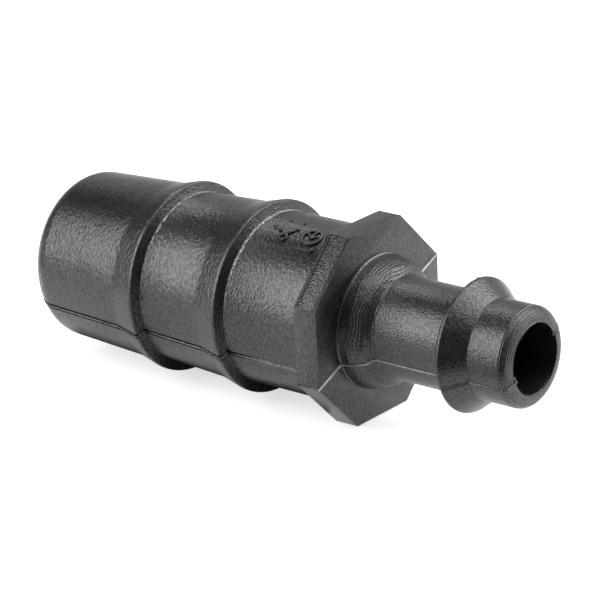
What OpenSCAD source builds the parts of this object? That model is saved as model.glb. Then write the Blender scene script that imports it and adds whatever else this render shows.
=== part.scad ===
// Hose barb reducer, moulded in one piece.
// The flow axis is X, from the large end towards the small end, and +Z is up.
// The eight-sided wrench flange has a flat on top and a flat below. X = 0 is its front face.

/* [Wrench flange] */
// Size across two opposite flats of the eight-sided flange
flange_flats = 20.6; // [20.2:0.1:24]
// Thickness of the flange along the axis
flange_thick = 2.9; // [2:0.1:5]

/* [Large hose end] */
// Diameter of the root between the flange and the nearest barb
large_root_d = 18.6; // [18.6:0.1:19]
// Diameter of the two barb crests
large_crest_d = 21; // [20.2:0.1:21.4]
// Distance from one barb shoulder to the next
barb_pitch = 11.6; // [10:0.1:14]
// Length of the root between the flange and the nearest barb shoulder
large_root_len = 10.6; // [8:0.1:14]
// Length of the tapered flank that rises to a crest
large_flank_len = 2.8; // [2:0.1:4]
// Length of the smooth lead-in ahead of the outer barb
lead_in_len = 13.2; // [12:0.1:18]
// Radius of the rounding on the large end
large_end_round = 2.7; // [1:0.1:3.1]
// Diameter of the bore in the large end
large_bore_d = 11.6; // [9:0.1:11.6]

/* [Small hose end] */
// Diameter of the spigot between the flange and the barb
small_root_d = 10.7; // [10.4:0.1:11.2]
// Diameter of the barb crest
small_crest_d = 14; // [13:0.1:15]
// Diameter of the plain tip ahead of the barb
small_tip_d = 10.5; // [10.2:0.1:10.6]
// Distance from the flange face to the foot of the barb shoulder
small_root_len = 11.3; // [9:0.1:16]
// Length of the tapered flank from the crest down to the plain tip
small_flank_len = 2.2; // [1.5:0.1:4]
// Length of the plain tip ahead of the barb
small_tip_len = 4.1; // [3:0.1:8]
// Diameter of the bore through the small end
small_bore_d = 7.4; // [5:0.1:7.6]

/* [Boss] */
// Diameter of the conical boss where it meets the flange face
boss_d = 14.5; // [12:0.1:17]
// Length of the conical boss along the axis
boss_len = 3.4; // [2:0.1:5]

/* [Hidden] */
$fn = 96;

flange_sides = 8;
flange_corner_r = flange_flats / 2 / cos(180 / flange_sides);

// A large shoulder leans back by this much from its foot to its crest
large_shoulder_lean = 0.2;
// Width of the narrow land on top of a large crest
large_land = 0.35;
// Rise in radius from the foot of a barb segment to the foot of its flank
segment_rise = 0.4;
// Rise in radius of the lead-in, from its rounded end to the foot of the flank
lead_in_rise = 0.62;
// The small shoulder leans more than the large ones
small_shoulder_lean = 1.1;
small_land = 0.3;
// The chamfer that joins the plain tip to the small end face
tip_chamfer_len = 0.7;
tip_chamfer_depth = 1.1;
// The small bore runs on past the flange, then widens in a cone to the large bore
bore_past_flange = 6;
bore_cone_len = 4;
// A rounding is built from this many narrow cones
round_steps = 8;
// How far a cutting shape runs past the face it cuts
cut_past = 1;

large_root_r = large_root_d / 2;
large_crest_r = large_crest_d / 2;
flank_foot_r = large_root_r + segment_rise;
lead_in_r = flank_foot_r - lead_in_rise;
small_root_r = small_root_d / 2;
small_crest_r = small_crest_d / 2;
small_tip_r = small_tip_d / 2;
end_face_r = small_tip_r - tip_chamfer_depth;

// Places along the axis on the large side of the flange face, all negative
flange_back_x = -flange_thick;
inner_shoulder_x = flange_back_x - large_root_len;
outer_shoulder_x = inner_shoulder_x - barb_pitch;
barb_top_len = large_shoulder_lean + large_land;
large_end_x = outer_shoulder_x - barb_top_len - large_flank_len - lead_in_len;
bore_cone_small_x = flange_back_x - bore_past_flange;
bore_cone_large_x = bore_cone_small_x - bore_cone_len;

// Places along the axis on the small side of the flange face, all positive
small_crest_x = small_root_len + small_shoulder_lean;
small_flank_x = small_crest_x + small_land;
small_tip_x = small_flank_x + small_flank_len;
small_chamfer_x = small_tip_x + small_tip_len;
small_end_x = small_chamfer_x + tip_chamfer_len;

// Every outline point is [radius, place along the axis].
// One large barb, from the foot of its shoulder to the foot of its flank
function large_barb(shoulder_x) = [
    [large_root_r, shoulder_x],
    [large_crest_r, shoulder_x - large_shoulder_lean],
    [large_crest_r, shoulder_x - barb_top_len],
    [flank_foot_r, shoulder_x - barb_top_len - large_flank_len]
];

// The rounding from the lead-in round to the large end face
function large_round() = [
    for (i = [0 : round_steps])
        let (a = 90 * i / round_steps)
        [
            lead_in_r - large_end_round * (1 - cos(a)),
            large_end_x + large_end_round * (1 - sin(a))
        ]
];

// Outline of the large side, from the flange to the large end face
function large_outline() = concat(
    [[large_root_r, flange_back_x]],
    large_barb(inner_shoulder_x),
    large_barb(outer_shoulder_x),
    large_round(),
    [[0, large_end_x]]
);

// Outline of the small side, from the small end face to the flange
function small_outline() = [
    [0, small_end_x],
    [end_face_r, small_end_x],
    [small_tip_r, small_chamfer_x],
    [small_tip_r, small_tip_x],
    [small_crest_r, small_flank_x],
    [small_crest_r, small_crest_x],
    [small_root_r, small_root_len],
    [small_root_r, boss_len],
    [boss_d / 2, 0],
    [boss_d / 2, flange_back_x]
];

// Turns a shape built along Z so that it runs along X
module along_flow() {
    rotate([0, 90, 0]) children();
}

module barbed_spigots() {
    rotate_extrude()
        polygon(concat(small_outline(), large_outline()));
}

module wrench_flange() {
    translate([0, 0, flange_back_x])
        rotate(180 / flange_sides)
            cylinder(r = flange_corner_r, h = flange_thick, $fn = flange_sides);
}

// The whole bore is one turned cutting shape: narrow, then a cone, then wide
module flow_passage() {
    rotate_extrude()
        polygon([
            [0, small_end_x + cut_past],
            [small_bore_d / 2, small_end_x + cut_past],
            [small_bore_d / 2, bore_cone_small_x],
            [large_bore_d / 2, bore_cone_large_x],
            [large_bore_d / 2, large_end_x - cut_past],
            [0, large_end_x - cut_past]
        ]);
}

module reducer_body() {
    color("dimgray")
        along_flow()
            difference() {
                union() {
                    barbed_spigots();
                    wrench_flange();
                }
                flow_passage();
            }
}

reducer_body();
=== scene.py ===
import math

import bmesh
import bpy
from mathutils import Matrix, Vector


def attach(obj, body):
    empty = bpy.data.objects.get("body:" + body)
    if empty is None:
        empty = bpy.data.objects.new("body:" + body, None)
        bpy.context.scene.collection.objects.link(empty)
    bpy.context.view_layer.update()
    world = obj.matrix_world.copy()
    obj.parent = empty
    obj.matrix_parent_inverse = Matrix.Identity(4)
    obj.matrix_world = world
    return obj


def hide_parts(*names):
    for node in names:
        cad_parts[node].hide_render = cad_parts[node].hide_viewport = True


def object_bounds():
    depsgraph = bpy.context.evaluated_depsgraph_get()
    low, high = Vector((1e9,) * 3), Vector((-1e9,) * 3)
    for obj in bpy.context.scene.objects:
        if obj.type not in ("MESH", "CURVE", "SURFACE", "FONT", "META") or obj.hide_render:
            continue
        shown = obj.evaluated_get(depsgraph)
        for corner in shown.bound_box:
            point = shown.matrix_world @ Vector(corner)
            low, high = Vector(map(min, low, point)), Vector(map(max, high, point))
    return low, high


# Hose barb reducer: the moulded body with its parting line and raised mould marks,
# and the finish of its dark filled plastic. Places are in metres, in the CAD frame:
# X runs along the flow axis to the small end, Z is up, and X = 0 is the flange face.

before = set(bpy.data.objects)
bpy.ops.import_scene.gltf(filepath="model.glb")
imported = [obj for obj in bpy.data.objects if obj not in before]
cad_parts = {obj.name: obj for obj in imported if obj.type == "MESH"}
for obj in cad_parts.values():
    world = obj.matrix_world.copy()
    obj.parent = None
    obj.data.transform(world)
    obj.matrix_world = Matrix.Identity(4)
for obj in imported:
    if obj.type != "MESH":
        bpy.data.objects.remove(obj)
cad_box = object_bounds()

MM = 0.001

# The large crests and both ends stay this far inside the CAD body, which leaves room for
# its two halves to sit a little out of line, as they do on the real moulding
skin_room = 0.1 * MM
small_end_x = cad_box[1][0] - skin_room
large_end_x = cad_box[0][0] + skin_room

# Wrench flange
flange_flats = 20.6 * MM
flange_thick = 2.9 * MM
flange_corner_r = flange_flats / 2 / math.cos(math.pi / 8)
flange_edge = 0.06 * MM
flange_hole_r = 6.4 * MM
# The large root and the boss widen by this much where they meet the flange
root_flare = 0.22 * MM

# Large hose end
large_root_r = 9.3 * MM
large_crest_r = cad_box[1][1] - skin_room
flank_foot_r = large_root_r + 0.4 * MM
lead_in_r = flank_foot_r - 0.62 * MM
large_root_len = 10.6 * MM
barb_pitch = 11.6 * MM
inner_shoulder_x = -flange_thick - large_root_len
outer_shoulder_x = inner_shoulder_x - barb_pitch
large_flank_len = 2.8 * MM
large_shoulder_lean = 0.2 * MM
large_land = 0.35 * MM
large_end_round = 2.7 * MM
large_bore_r = 5.8 * MM

# A rough bead runs round the foot of each large shoulder
foot_bead = 0.07 * MM
foot_bead_start = 0.1 * MM
foot_bead_top = 0.22 * MM
foot_bead_end = 0.36 * MM

# Small hose end
small_root_r = 5.35 * MM
small_crest_r = 7.0 * MM
small_tip_r = 5.25 * MM
small_root_len = 11.3 * MM
small_shoulder_lean = 1.1 * MM
small_land = 0.3 * MM
small_flank_len = 2.2 * MM
small_tip_len = 4.1 * MM
small_crest_x = small_root_len + small_shoulder_lean
small_tip_x = small_crest_x + small_land + small_flank_len
small_chamfer_x = small_tip_x + small_tip_len
small_end_r = 4.15 * MM
small_bore_r = 3.7 * MM

# Boss between the flange and the small root: a short cylinder, a cone and a small step
boss_r = 7.0 * MM
boss_len = 3.4 * MM
boss_cylinder_len = 1.1 * MM

# The bore narrows in a cone behind the flange
bore_cone_small_x = -flange_thick - 6.0 * MM
bore_cone_large_x = bore_cone_small_x - 4.0 * MM

# The mould parts in a plane through the flow axis, turned this far from level
parting_turn = math.radians(22.5)
parting_normal = Vector((0, -math.sin(parting_turn), math.cos(parting_turn)))
parting_side = Vector((0, -math.cos(parting_turn), -math.sin(parting_turn)))
# The lower half sits this far towards the small end and out to its side
mould_mismatch = Vector((0.19 * MM, 0, 0)) + parting_side * 0.15 * MM
# The ridge reaches this far to each side of the plane, and its radius is this many times the skin's
ridge_side = 0.075 * MM
ridge_rise = 1.009
# On the barrel a shallow groove runs along each side of the ridge. Its middle and its outer
# side lie this far from the plane, and its floor's radius is this many times the skin's.
groove_middle = 0.15 * MM
groove_side = 0.29 * MM
groove_floor = 0.978


def clear_selection():
    if bpy.context.object and bpy.context.object.mode != "OBJECT":
        bpy.ops.object.mode_set(mode="OBJECT")
    bpy.ops.object.select_all(action="DESELECT")


def activate(piece):
    clear_selection()
    bpy.context.view_layer.objects.active = piece
    piece.select_set(True)


def settle(piece):
    """Put the piece's place, turn and scale into its mesh."""
    activate(piece)
    bpy.ops.object.transform_apply(location=True, rotation=True, scale=True)


def pick(piece, wanted, kind="verts"):
    """In edit mode, select only the vertices, edges or faces for which wanted() is true."""
    bpy.ops.mesh.select_mode(type={"verts": "VERT", "edges": "EDGE", "faces": "FACE"}[kind])
    bpy.ops.mesh.select_all(action="DESELECT")
    shape = bmesh.from_edit_mesh(piece.data)
    for part in getattr(shape, kind):
        if wanted(part):
            part.select_set(True)
    shape.select_flush_mode()
    bmesh.update_edit_mesh(piece.data)


def apply_modifier(piece, kind, **settings):
    activate(piece)
    modifier = piece.modifiers.new(kind.title(), kind)
    for name, value in settings.items():
        setattr(modifier, name, value)
    bpy.ops.object.modifier_apply(modifier=modifier.name)


def unite(piece, other):
    """Weld another closed piece into this one, and remove the other."""
    apply_modifier(piece, "BOOLEAN", operation="UNION", object=other, solver="EXACT")
    bpy.data.objects.remove(other)


def turned(name, section, steps=256):
    """Spin a closed section about the flow axis.
    Each section point is (x, radius, rounding, rounding steps)."""
    clear_selection()
    x, r = section[0][:2]
    bpy.ops.mesh.primitive_plane_add(size=0.001, location=(x, 0, r))
    piece = bpy.context.object
    piece.name = name
    settle(piece)
    bpy.ops.object.mode_set(mode="EDIT")
    bpy.ops.mesh.select_all(action="SELECT")
    bpy.ops.mesh.merge(type="CENTER")
    for here, there in zip(section, section[1:]):
        step = (there[0] - here[0], 0, there[1] - here[1])
        bpy.ops.mesh.extrude_vertices_move(TRANSFORM_OT_translate={"value": step})
    pick(piece, lambda v: len(v.link_edges) == 1)
    bpy.ops.mesh.edge_face_add()
    for x, r, rounding, count in section:
        if rounding > 0:
            corner = Vector((x, 0, r))
            pick(piece, lambda v: (v.co - corner).length < 1e-6)
            bpy.ops.mesh.bevel(offset=rounding, segments=count, affect="VERTICES", clamp_overlap=False)
    bpy.ops.mesh.select_all(action="SELECT")
    bpy.ops.mesh.spin(steps=steps, angle=2 * math.pi, center=(0, 0, 0), axis=(1, 0, 0))
    bpy.ops.mesh.select_all(action="SELECT")
    bpy.ops.mesh.remove_doubles(threshold=1e-7)
    bpy.ops.mesh.normals_make_consistent(inside=False)
    bpy.ops.object.mode_set(mode="OBJECT")
    return piece


def large_barb(shoulder_x):
    """The section of one sharp barb, from the foot of its flank to the foot of its shoulder."""
    land_x = shoulder_x - large_shoulder_lean
    return [
        (land_x - large_land - large_flank_len, flank_foot_r, 0.35 * MM, 3),
        (land_x - large_land, large_crest_r, 0.06 * MM, 2),
        (land_x, large_crest_r, 0.12 * MM, 3),
        (shoulder_x, large_root_r, 0.05 * MM, 2),
        (shoulder_x + foot_bead_start, large_root_r, 0, 0),
        (shoulder_x + foot_bead_top, large_root_r + foot_bead, 0.05 * MM, 2),
        (shoulder_x + foot_bead_end, large_root_r, 0, 0),
    ]


def body_section():
    """The closed section of both spigots and the bore, once round."""
    large_side = [
        (large_end_x, large_bore_r, 0.15 * MM, 3),
        (large_end_x, lead_in_r, large_end_round, 12),
    ] + large_barb(outer_shoulder_x) + large_barb(inner_shoulder_x)
    middle = [
        (-flange_thick - root_flare, large_root_r, 0, 0),
        (-flange_thick + 0.02 * MM, large_root_r + root_flare, 0, 0),
        (-flange_thick / 2, large_root_r + root_flare, 0, 0),
        (-flange_thick / 2, boss_r + root_flare, 0, 0),
        (-0.02 * MM, boss_r + root_flare, 0, 0),
        (0.12 * MM, boss_r + 0.03 * MM, 0.06 * MM, 2),
        (boss_cylinder_len, boss_r - 0.12 * MM, 0.05 * MM, 2),
        (boss_len - 0.75 * MM, small_root_r + 0.9 * MM, 0.1 * MM, 2),
        (boss_len - 0.4 * MM, small_root_r + 0.1 * MM, 0.08 * MM, 2),
        (boss_len - 0.1 * MM, small_root_r, 0, 0),
    ]
    small_side = [
        (small_root_len, small_root_r, 0.15 * MM, 3),
        (small_crest_x, small_crest_r, 0.07 * MM, 2),
        (small_crest_x + small_land, small_crest_r, 0.12 * MM, 2),
        (small_tip_x, small_tip_r, 0.12 * MM, 3),
        (small_chamfer_x - 0.35 * MM, small_tip_r, 0, 0),
        (small_chamfer_x - 0.27 * MM, small_tip_r - 0.07 * MM, 0, 0),
        (small_chamfer_x - 0.17 * MM, small_tip_r - 0.01 * MM, 0.06 * MM, 2),
        (small_chamfer_x + 0.38 * MM, small_tip_r - 0.32 * MM, 0.3 * MM, 4),
        (small_end_x, small_end_r, 0.25 * MM, 4),
        (small_end_x, small_bore_r, 0.12 * MM, 3),
    ]
    bore = [
        (bore_cone_small_x, small_bore_r, 0, 0),
        (bore_cone_large_x, large_bore_r, 0, 0),
    ]
    return large_side + middle + small_side + bore


def upright_disc(name, corners, radius, thick, mid_x, turn=0.0):
    """A disc or prism across the flow axis."""
    clear_selection()
    bpy.ops.mesh.primitive_cylinder_add(
        vertices=corners, radius=radius, depth=thick,
        location=(mid_x, 0, 0), rotation=(0, math.pi / 2, 0))
    disc = bpy.context.object
    disc.name = name
    settle(disc)
    bpy.ops.object.mode_set(mode="EDIT")
    bpy.ops.mesh.select_all(action="SELECT")
    bpy.ops.transform.rotate(value=turn, orient_axis="X", center_override=(mid_x, 0, 0))
    bpy.ops.object.mode_set(mode="OBJECT")
    return disc


def wrench_flange():
    """The eight-sided flange, as a ring whose hole is hidden in the wall of the body."""
    middle_x = -flange_thick / 2
    flange = upright_disc("wrench_flange", 8, flange_corner_r, flange_thick, middle_x, math.pi / 8)
    bpy.ops.object.mode_set(mode="EDIT")
    bpy.ops.mesh.select_all(action="SELECT")
    bpy.ops.mesh.bevel(offset=flange_edge, segments=2, affect="EDGES")
    bpy.ops.object.mode_set(mode="OBJECT")
    hole = upright_disc("hole", 96, flange_hole_r, flange_thick * 2, middle_x)
    apply_modifier(flange, "BOOLEAN", operation="DIFFERENCE", object=hole, solver="EXACT")
    bpy.data.objects.remove(hole)
    return flange


def in_bore(place):
    """Whether a point lies on the bore wall, which the mould's core made in one piece."""
    r = math.hypot(place.y, place.z)
    if place.x > bore_cone_small_x:
        return r < small_bore_r + 0.02 * MM
    return r < large_bore_r + 0.02 * MM


def part_in_two(body):
    """Set the body's lower half out of line, with a fine ridge where the mould closed,
    and on the barrel a shallow groove along each side of the ridge."""
    bpy.ops.object.mode_set(mode="EDIT")
    for cut in (-groove_side, -groove_middle, -ridge_side, ridge_side, groove_middle, groove_side):
        bpy.ops.mesh.select_all(action="SELECT")
        bpy.ops.mesh.bisect(plane_co=parting_normal * cut, plane_no=parting_normal, threshold=1e-8)
    near = 0.03 * MM
    barrel_x = -flange_thick - 0.3 * MM
    pick(body, lambda v: (
        abs(abs(v.co.dot(parting_normal)) - groove_middle) < near
        and v.co.x < barrel_x and not in_bore(v.co)))
    bpy.ops.transform.resize(value=(1, groove_floor, groove_floor), center_override=(0, 0, 0))
    half = ridge_side / 2
    pick(body, lambda v: v.co.dot(parting_normal) > half and not in_bore(v.co))
    bpy.ops.transform.translate(value=mould_mismatch * -0.5)
    pick(body, lambda v: v.co.dot(parting_normal) < -half and not in_bore(v.co))
    bpy.ops.transform.translate(value=mould_mismatch * 0.5)
    pick(body, lambda v: abs(v.co.dot(parting_normal)) < half and not in_bore(v.co))
    bpy.ops.transform.resize(value=(1, ridge_rise, ridge_rise), center_override=(0, 0, 0))
    bpy.ops.object.mode_set(mode="OBJECT")


def laid_on(body, sheet, x, turn, height):
    """Lay a flat sheet on the large root and give it its height.
    The turn is about the flow axis in degrees, from +Y towards +Z."""
    turn = math.radians(turn)
    sheet.location = (x, math.cos(turn) * large_root_r * 1.1, math.sin(turn) * large_root_r * 1.1)
    sheet.rotation_euler = (turn - math.pi / 2, 0, 0)
    apply_modifier(
        sheet, "SHRINKWRAP", target=body, wrap_method="PROJECT", use_project_z=True,
        use_positive_direction=False, use_negative_direction=True, offset=height)
    apply_modifier(sheet, "SOLIDIFY", thickness=height + 0.12 * MM, offset=-1)
    settle(sheet)
    bpy.ops.object.mode_set(mode="EDIT")
    bpy.ops.mesh.select_all(action="SELECT")
    bpy.ops.mesh.normals_make_consistent(inside=False)
    bpy.ops.object.mode_set(mode="OBJECT")
    apply_modifier(
        sheet, "BEVEL", width=0.035 * MM, segments=2,
        limit_method="ANGLE", angle_limit=math.radians(50))
    return sheet


def flat_ring(outer, wall, corners=40):
    clear_selection()
    bpy.ops.mesh.primitive_circle_add(vertices=corners, radius=outer, fill_type="NGON")
    ring = bpy.context.object
    bpy.ops.object.mode_set(mode="EDIT")
    bpy.ops.mesh.select_all(action="SELECT")
    bpy.ops.mesh.inset(thickness=wall)
    bpy.ops.mesh.delete(type="FACE")
    bpy.ops.object.mode_set(mode="OBJECT")
    return ring


def flat_dot(radius, corners=20):
    clear_selection()
    bpy.ops.mesh.primitive_circle_add(vertices=corners, radius=radius, fill_type="NGON")
    return bpy.context.object


def flat_stroke(length, width, turn=0.0):
    """A straight stroke, cut into short lengths so that it follows the round surface."""
    clear_selection()
    bpy.ops.mesh.primitive_plane_add(size=1)
    stroke = bpy.context.object
    bpy.ops.object.mode_set(mode="EDIT")
    bpy.ops.mesh.select_all(action="SELECT")
    bpy.ops.transform.resize(value=(length, width, 1))
    pick(stroke, lambda e: abs(e.verts[0].co.x - e.verts[1].co.x) > 0.5 * length, "edges")
    bpy.ops.mesh.subdivide(number_cuts=5)
    bpy.ops.mesh.select_all(action="SELECT")
    bpy.ops.transform.rotate(value=-math.radians(turn), orient_axis="Z", center_override=(0, 0, 0))
    bpy.ops.object.mode_set(mode="OBJECT")
    return stroke


def add_mould_marks(body):
    """Plain raised marks beside the flange: a dial with three ticks, a bar, a ring, strokes and dots."""
    marks = [
        laid_on(body, flat_ring(1.3 * MM, 0.32 * MM), -6.05 * MM, 109, 0.22 * MM),
        laid_on(body, flat_dot(0.34 * MM), -6.05 * MM, 109, 0.22 * MM),
        laid_on(body, flat_stroke(0.7 * MM, 0.24 * MM, 80), -6.0 * MM, 104.9, 0.2 * MM),
        laid_on(body, flat_stroke(0.7 * MM, 0.24 * MM, 25), -5.35 * MM, 107.5, 0.2 * MM),
        laid_on(body, flat_stroke(0.7 * MM, 0.24 * MM, -35), -6.75 * MM, 106.5, 0.2 * MM),
        laid_on(body, flat_stroke(2.7 * MM, 0.22 * MM), -6.3 * MM, 120.2, 0.15 * MM),
        laid_on(body, flat_dot(0.26 * MM), -4.92 * MM, 120.1, 0.24 * MM),
        laid_on(body, flat_ring(0.56 * MM, 0.24 * MM), -9.25 * MM, 114.3, 0.2 * MM),
        laid_on(body, flat_stroke(0.9 * MM, 0.26 * MM, 55), -8.85 * MM, 108.2, 0.2 * MM),
        laid_on(body, flat_dot(0.24 * MM), -8.45 * MM, 104.4, 0.2 * MM),
        laid_on(body, flat_stroke(0.8 * MM, 0.22 * MM, -60), -11.3 * MM, 105.6, 0.15 * MM),
        laid_on(body, flat_dot(0.26 * MM), -10.3 * MM, 107.7, 0.2 * MM),
        laid_on(body, flat_stroke(0.9 * MM, 0.18 * MM, -40), -10.3 * MM, 117.5, 0.05 * MM),
        laid_on(body, flat_dot(0.2 * MM), -10.45 * MM, 95.9, 0.13 * MM),
        laid_on(body, flat_dot(0.2 * MM), -8.65 * MM, 95.5, 0.13 * MM),
    ]
    for mark in marks:
        unite(body, mark)


def add_flash(body):
    """Small lumps of flash, where the parting line meets the small end and on the small crest.
    Each is (x, radius, turn in degrees, length, width, height), in mm."""
    lumps = (
        (19.4, 3.7, 202, 0.24, 0.34, 0.3),
        (19.25, 3.5, 199, 0.2, 0.2, 0.24),
        (19.4, 3.55, 206, 0.2, 0.16, 0.24),
        (19.38, 3.85, 24, 0.26, 0.34, 0.32),
        (18.9, 5.0, 24, 0.4, 0.26, 0.2),
        (12.55, 6.95, 86, 0.3, 0.2, 0.12),
    )
    for x, r, turn, long, wide, high in lumps:
        clear_selection()
        bpy.ops.mesh.primitive_ico_sphere_add(subdivisions=2, radius=MM)
        lump = bpy.context.object
        lump.scale = (long, wide, high)
        turn = math.radians(turn)
        lump.rotation_euler = (turn - math.pi / 2, 0, 0)
        lump.location = (x * MM, r * MM * math.cos(turn), r * MM * math.sin(turn))
        settle(lump)
        unite(body, lump)


body = turned("moulded_body", body_section())
unite(body, wrench_flange())
add_mould_marks(body)
add_flash(body)
part_in_two(body)
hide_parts("reducer_body")
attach(body, "root")
activate(body)
bpy.ops.object.shade_smooth_by_angle(angle=math.radians(32))


class Field:
    """A number that varies from place to place. Sums on it add the Math nodes that it takes."""

    def __init__(self, nodes, socket):
        self.nodes = nodes
        self.socket = socket

    def math(self, operation, *others, clamp=False):
        values = dict(enumerate((self,) + others))
        return self.nodes.node("ShaderNodeMath", {"operation": operation, "use_clamp": clamp}, values)

    def __add__(self, other):
        return self.math("ADD", other)

    def __radd__(self, other):
        return self.math("ADD", other)

    def __sub__(self, other):
        return self.math("SUBTRACT", other)

    def __rsub__(self, other):
        return self.nodes.node("ShaderNodeMath", {"operation": "SUBTRACT"}, {0: other, 1: self})

    def __mul__(self, other):
        return self.math("MULTIPLY", other)

    def __truediv__(self, other):
        return self.math("DIVIDE", other)

    def __pow__(self, other):
        return self.math("POWER", other)

    def between(self, low, high, soft):
        """1 from low to high, falling to 0 over the soft distance outside them."""
        rise = ((self - (low - soft)) / soft).math("MINIMUM", ((high + soft) - self) / soft)
        return rise.math("MULTIPLY", 1, clamp=True)

    def spread(self, low, high):
        """0 at low and below, 1 at high and above."""
        return ((self - low) / (high - low)).math("MULTIPLY", 1, clamp=True)


class Nodes:
    """A node tree, and the one way in which nodes are added to it."""

    def __init__(self, tree):
        self.tree = tree

    def node(self, kind, settings, sockets, out=0):
        made = self.tree.nodes.new(kind)
        for name, value in settings.items():
            setattr(made, name, value)
        for name, value in sockets.items():
            self.feed(made.inputs[name], value)
        return Field(self, made.outputs[out])

    def feed(self, socket, value):
        if isinstance(value, Field):
            self.tree.links.new(value.socket, socket)
        else:
            socket.default_value = value


class Finish(Nodes):
    """A material that is built from nodes."""

    def __init__(self, name):
        self.material = bpy.data.materials.new(name)
        self.material.use_nodes = True
        super().__init__(self.material.node_tree)
        self.tree.nodes.remove(self.tree.nodes["Principled BSDF"])
        self.place = self.node("ShaderNodeTexCoord", {}, {}, "Object")
        self.x = self.node("ShaderNodeSeparateXYZ", {}, {0: self.place}, "X")
        self.y = self.node("ShaderNodeSeparateXYZ", {}, {0: self.place}, "Y")
        self.z = self.node("ShaderNodeSeparateXYZ", {}, {0: self.place}, "Z")
        self.radius = (self.y * self.y + self.z * self.z) ** 0.5
        # How far round the barrel a place lies. The seam is underneath.
        self.round = self.y.math("ARCTAN2", self.z) * large_root_r
        # Distance from the axis, measured square to the nearest of the flange's eight sides
        wide = self.y.math("ABSOLUTE")
        high = self.z.math("ABSOLUTE")
        self.side = wide.math("MAXIMUM", high).math("MAXIMUM", (wide + high) * math.sqrt(0.5))

    def stretched(self, x, y, z):
        """The place, scaled along each axis."""
        return self.node("ShaderNodeVectorMath", {"operation": "MULTIPLY"}, {0: self.place, 1: (x, y, z)})

    def unrolled(self, along, around):
        """The place on the unrolled skin, with its features drawn out by these amounts."""
        sockets = {0: self.x / along, 1: self.round / around, 2: self.radius}
        return self.node("ShaderNodeCombineXYZ", {}, sockets)

    def noise(self, place, size, detail=2.0, roughness=0.5, distortion=0.0):
        """Noise from 0 to 1 whose features are about size across, in metres."""
        sockets = {
            "Vector": place, "Scale": 1 / size, "Detail": detail,
            "Roughness": roughness, "Distortion": distortion}
        return self.node("ShaderNodeTexNoise", {}, sockets, "Fac")

    def distance(self, there):
        """The distance to one point."""
        sockets = {0: self.place, 1: there}
        return self.node("ShaderNodeVectorMath", {"operation": "DISTANCE"}, sockets, "Value")

    def mix(self, factor, low, high):
        """The low colour where the factor is 0, and the high one where it is 1."""
        return self.node("ShaderNodeMix", {"data_type": "RGBA"}, {0: factor, 6: low, 7: high}, 2)

    def bump(self, height_mm):
        """A normal from a height in millimetres."""
        sockets = {"Height": height_mm, "Distance": MM, "Strength": 1.0}
        return self.node("ShaderNodeBump", {}, sockets)

    def show(self, shader):
        self.feed(self.tree.nodes["Material Output"].inputs["Surface"], shader)


def flange_stipple(finish):
    """The height of the stipple on the rim of the flange. It is coarse on one flat, between two creases."""
    x, y, z = finish.x, finish.y, finish.z
    stipple = finish.noise(finish.place, 0.21 * MM, 1.0, 0.5)
    rim = x.between(-2.8 * MM, -0.12 * MM, 0.03 * MM) * finish.side.spread(10.15 * MM, 10.22 * MM)
    coarse_flat = rim * (z - y).spread(14.3 * MM, 14.45 * MM) * (0 - y).spread(4.0 * MM, 4.1 * MM)
    back_crease = x.between(-2.66 * MM, -2.56 * MM, 0.08 * MM)
    front_crease = x.between(-0.4 * MM, -0.3 * MM, 0.08 * MM)
    between_creases = x.between(-2.44 * MM, -0.5 * MM, 0.05 * MM)
    return (coarse_flat * between_creases * stipple * 0.065 + rim * stipple * 0.02
            - (back_crease + front_crease) * coarse_flat * 0.09)


def turning_lines(finish, swell, wrinkles, patches):
    """The height of the turning lines round the boss and the rounded small end."""
    x, radius = finish.x, finish.radius
    boss_wave = ((radius - x) * (2 * math.pi / (0.46 * MM)) + swell * 14 + wrinkles * 2.5).math("SINE")
    boss_lines = boss_wave * x.between(0.8 * MM, 3.3 * MM, 0.08 * MM) * (0.25 + patches * 0.75)
    end_wave = (radius * (2 * math.pi / (0.24 * MM)) + swell * 3).math("SINE")
    on_end = x.spread(18.9 * MM, 19.1 * MM) * radius.spread(3.8 * MM, 3.9 * MM)
    end_lines = end_wave * on_end * (0.4 + patches)
    return boss_lines * 0.015 + end_lines * 0.02


def parting_marks(finish):
    """Where the creases beside the parting ridge are, and where the painted highlight along the ridge's top
    goes.
    """
    from_parting = (finish.z * parting_normal.z + finish.y * parting_normal.y).math("ABSOLUTE")
    outside = 1 - finish.radius.between(0, small_bore_r, 0.05 * MM)
    ragged = finish.noise(finish.place, 0.5 * MM, 2.0, 0.6) * (0.06 * MM)
    crease = (from_parting + ragged).between(0.14 * MM, 0.22 * MM, 0.05 * MM) * outside
    # Painted highlight: a thin pale line along the top of the parting ridge
    ridge_highlight_mask = (1 - from_parting.spread(0.04 * MM, 0.07 * MM)) * outside
    return crease, ridge_highlight_mask


def shoulder_bead_grit_and_highlight(finish, grain, pits):
    """Where the rough grit sits on the bead at the foot of each large shoulder, on the upper side. It
    shapes the grit's bumps and also places a painted highlight on them.
    """
    loose = (finish.noise(finish.place, 0.7 * MM, 2.0, 0.6) - 0.5) * (0.35 * MM)
    place = finish.x + loose
    soft = 0.04 * MM
    inner = place.between(inner_shoulder_x + foot_bead_start, inner_shoulder_x + foot_bead_end, soft)
    outer = place.between(outer_shoulder_x + foot_bead_start, outer_shoulder_x + 0.32 * MM, soft)
    clumps = (grain * 0.5 + pits * 0.5).spread(0.42, 0.54)
    return (inner + outer * 0.8) * clumps * finish.z.spread(1 * MM, 6 * MM)


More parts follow.
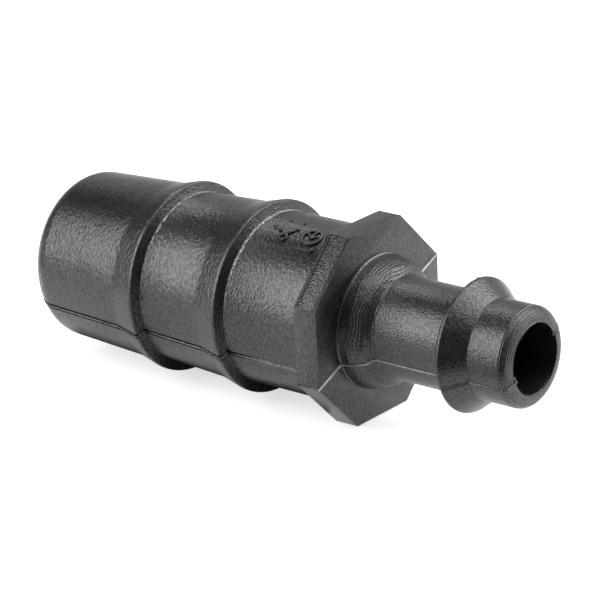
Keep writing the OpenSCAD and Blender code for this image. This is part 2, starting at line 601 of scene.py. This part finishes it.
def dark_plastic():
    finish = Finish("dark_filled_plastic")
    x = finish.x

    # The grain of the mould's skin: shallow wrinkles drawn out round the body, and finer grain between
    wrinkles = finish.noise(finish.unrolled(1, 1.6), 0.28 * MM, 1.0, 0.45, 0.3)
    grain = finish.noise(finish.place, 0.24 * MM, 1.0, 0.5)
    pits = finish.noise(finish.place, 0.1 * MM, 1.0)
    swell = finish.noise(finish.place, 2.2 * MM, 1.0)
    patches = finish.noise(finish.stretched(0.6, 1, 1), 1.8 * MM, 2.0, 0.5).spread(0.35, 0.65)

    # The flange and the small end were cut finer in the mould than the barrel
    barrel = 1 - x.spread(-3.1 * MM, -2.8 * MM)
    spigot = x.spread(0.3 * MM, 0.8 * MM)

    # A small dent beside the outer shoulder
    dent_place = (-24.9 * MM, -9.25 * MM, 0.45 * MM)
    dent = 1 - finish.distance(dent_place).spread(0.15 * MM, 0.4 * MM)

    crease, ridge_highlight_mask = parting_marks(finish)
    grit_and_highlight = shoulder_bead_grit_and_highlight(finish, grain, pits)
    height = (wrinkles * (0.012 + barrel * 0.042 + spigot * 0.02)
              + grain * (0.024 + spigot * 0.012)
              + pits * 0.008 + swell * 0.04
              + flange_stipple(finish)
              + turning_lines(finish, swell, wrinkles, patches)
              - barrel * crease * 0.05 + grit_and_highlight * 0.05 - dent * 0.06)

    # Dark grey, a little paler where the filler lies close under the skin
    mottle = finish.noise(finish.stretched(0.5, 1, 1), 1.3 * MM, 3.0, 0.6).spread(0.35, 0.7)
    specks = finish.noise(finish.place, 0.17 * MM, 1.0).spread(0.64, 0.78)
    colour = finish.mix(mottle, (0.0015, 0.0015, 0.0016, 1), (0.0032, 0.0033, 0.0035, 1))
    colour = finish.mix(specks * 0.5, colour, (0.03, 0.03, 0.031, 1))

    # Painted highlights in the base colour: pale on the grit of the shoulder beads, and pale along the
    # parting line by the small end, where it fades over the boss and again along the spigot
    flange_and_on = x.spread(-0.14 * MM, -0.1 * MM)
    fading = (1 - x.spread(0.1 * MM, 0.2 * MM) * 0.3
              - x.spread(3 * MM, 3.5 * MM) * 0.4
              - x.spread(9 * MM, 11 * MM) * 0.25)
    # Painted highlight along the parting ridge, from the flange face on
    painted_ridge_highlight = ridge_highlight_mask * flange_and_on * fading * (0.5 + patches * 0.5)
    # Painted highlight: the grit on the upper side of the shoulder beads is made pale
    colour = finish.mix(grit_and_highlight * 0.8, colour, (0.42, 0.42, 0.43, 1))
    colour = finish.mix(painted_ridge_highlight, colour, (0.3, 0.3, 0.31, 1))

    # The skin keeps its gloss on the high spots of the grain and has lost it in the low ones
    roughness = 0.3 + mottle * 0.05 + grain * 0.03
    gloss = (grain * 0.5 + wrinkles * 0.5).spread(0.4, 0.6)
    skin = {"Base Color": colour, "Roughness": roughness, "Normal": finish.bump(height)}
    dull = finish.node("ShaderNodeBsdfPrincipled", {}, dict(skin, IOR=1.44))
    glossy = finish.node("ShaderNodeBsdfPrincipled", {}, dict(skin, IOR=1.6))
    finish.show(finish.node("ShaderNodeMixShader", {}, {0: gloss, 1: dull, 2: glossy}))
    return finish.material


body.data.materials.clear()
body.data.materials.append(dark_plastic())

# The floor, lit a little from underneath, which keeps the shadow light
floor_z = cad_box[0][2]
clear_selection()
bpy.ops.mesh.primitive_plane_add(size=6, location=(0, 0, floor_z))
floor = bpy.context.object
floor.name = "floor"
pale_floor = bpy.data.materials.new("pale_floor")
pale_floor.use_nodes = True
floor_shader = pale_floor.node_tree.nodes["Principled BSDF"]
floor_shader.inputs["Base Color"].default_value = (0.55, 0.55, 0.55, 1)
floor_shader.inputs["Roughness"].default_value = 0.9
floor_shader.inputs["Emission Color"].default_value = (1, 1, 1, 1)
floor_shader.inputs["Emission Strength"].default_value = 0.64
floor.data.materials.append(pale_floor)


def direction(turn, rise):
    """The unit vector at this turn from +X towards +Y, and this rise from level, in degrees."""
    turn, rise = math.radians(turn), math.radians(rise)
    return Vector((math.cos(rise) * math.cos(turn), math.cos(rise) * math.sin(turn), math.sin(rise)))


def facing_back(away, roll):
    """The rotation of a camera or lamp that stands in this direction and looks back, rolled in degrees."""
    upright = away.to_track_quat("Z", "Y").to_matrix()
    return (upright @ Matrix.Rotation(math.radians(roll), 3, "Z")).to_euler()


# The camera looks at the middle of the body from the front right, a little from above
aim = Vector((-10.55 * MM, 0, 0.2 * MM))
view_from = direction(-50.38, 20.35)
view_distance = 321 * MM
camera_data = bpy.data.cameras.new("camera")
camera_data.sensor_width = 36
camera_data.lens = 182.17
camera_data.clip_start = 0.01
camera_data.clip_end = 20
camera = bpy.data.objects.new("camera", camera_data)
bpy.context.scene.collection.objects.link(camera)
camera.location = aim + view_from * view_distance
camera.rotation_euler = facing_back(view_from, -2.49)
bpy.context.scene.camera = camera


def softbox(name, turn, rise, distance, width, height, radiance, roll=0):
    """A rectangular soft light that looks at the object, as bright as its radiance.
    Its roll leans its sides away from upright, in degrees."""
    light = bpy.data.lights.new(name, "AREA")
    light.shape = "RECTANGLE"
    light.size, light.size_y = width, height
    light.energy = radiance * math.pi * width * height
    lamp = bpy.data.objects.new(name, light)
    bpy.context.scene.collection.objects.link(lamp)
    away = direction(turn, rise)
    lamp.location = aim + away * distance
    lamp.rotation_euler = facing_back(away, roll)


softbox("key_light", -130, 27, 0.5, 0.36, 0.44, 6.4, roll=15)
softbox("back_light", 52, 38, 0.5, 0.38, 0.42, 6.1)
softbox("top_light", 10, 76, 0.55, 0.4, 0.6, 3.0)
softbox("rim_light", 139, 53, 0.5, 0.16, 0.12, 6.0)
bpy.context.scene.view_settings.view_transform = "Standard"


def dark_card(name, x, y, long, wide, turn, shade, lift):
    """A card flat on the table, out of the picture, that is seen only in the gloss of the object."""
    clear_selection()
    bpy.ops.mesh.primitive_plane_add(size=1, location=(x, y, floor_z + lift))
    card = bpy.context.object
    card.name = name
    bpy.ops.object.mode_set(mode="EDIT")
    bpy.ops.transform.resize(value=(long, wide, 1))
    bpy.ops.object.mode_set(mode="OBJECT")
    card.rotation_euler.z = math.radians(turn)
    paint = bpy.data.materials.new(name)
    paint.use_nodes = True
    shader = paint.node_tree.nodes["Principled BSDF"]
    shader.inputs["Base Color"].default_value = (shade, shade, shade, 1)
    card.data.materials.append(paint)
    card.visible_camera = False
    card.visible_shadow = False
    return card


# One card darkens the near sides, one the flanks of the barbs, and one under the barrel is painted shadow,
# seen only in the gloss
front_card = dark_card("front_card", 0.125, -0.195, 0.242, 0.354, 0, 0.03, 0.3 * MM)
left_card = dark_card("left_card", -0.215, -0.083, 0.28, 0.06, 22, 0.03, 0.3 * MM)
# Painted shadow: a grey card under the barrel stands for the shade beneath the body, where the shoulders
# reflect it
painted_shadow_card = dark_card("painted_shadow_card", -0.023, 0.0, 0.038, 0.011, 0, 0.16, 0.02 * MM)
painted_shadow_card.visible_diffuse = False


def wall_shade(walls, middle, darkest, width):
    """1 over most of the walls, and down to the darkest share round one direction."""
    looking = walls.node("ShaderNodeTexCoord", {}, {}, "Generated")
    both_ways = {0: looking, 1: middle}
    facing = walls.node("ShaderNodeVectorMath", {"operation": "DOT_PRODUCT"}, both_ways, "Value")
    sockets = {
        "Value": facing, "From Min": 1 - width, "From Max": 1 - width * 0.25,
        "To Min": 1.0, "To Max": darkest}
    return walls.node("ShaderNodeMapRange", {"interpolation_type": "SMOOTHSTEP"}, sockets, "Result")


# The walls of the studio: pale, and darker behind the camera and to the left, high and low
world = bpy.context.scene.world or bpy.data.worlds.new("studio")
bpy.context.scene.world = world
world.use_nodes = True
walls = Nodes(world.node_tree)
pale_wall = 0.72
behind_camera = wall_shade(walls, direction(-62, 8), 0.21, 0.38)
high_left = wall_shade(walls, direction(-176, 46), 0.15, 0.32)
low_left = wall_shade(walls, direction(-169, 3), 0.05, 0.14)
background = walls.tree.nodes["Background"]
walls.feed(background.inputs["Strength"], behind_camera * high_left * low_left * pale_wall)
walls.feed(background.inputs["Color"], (1, 1, 1, 1))
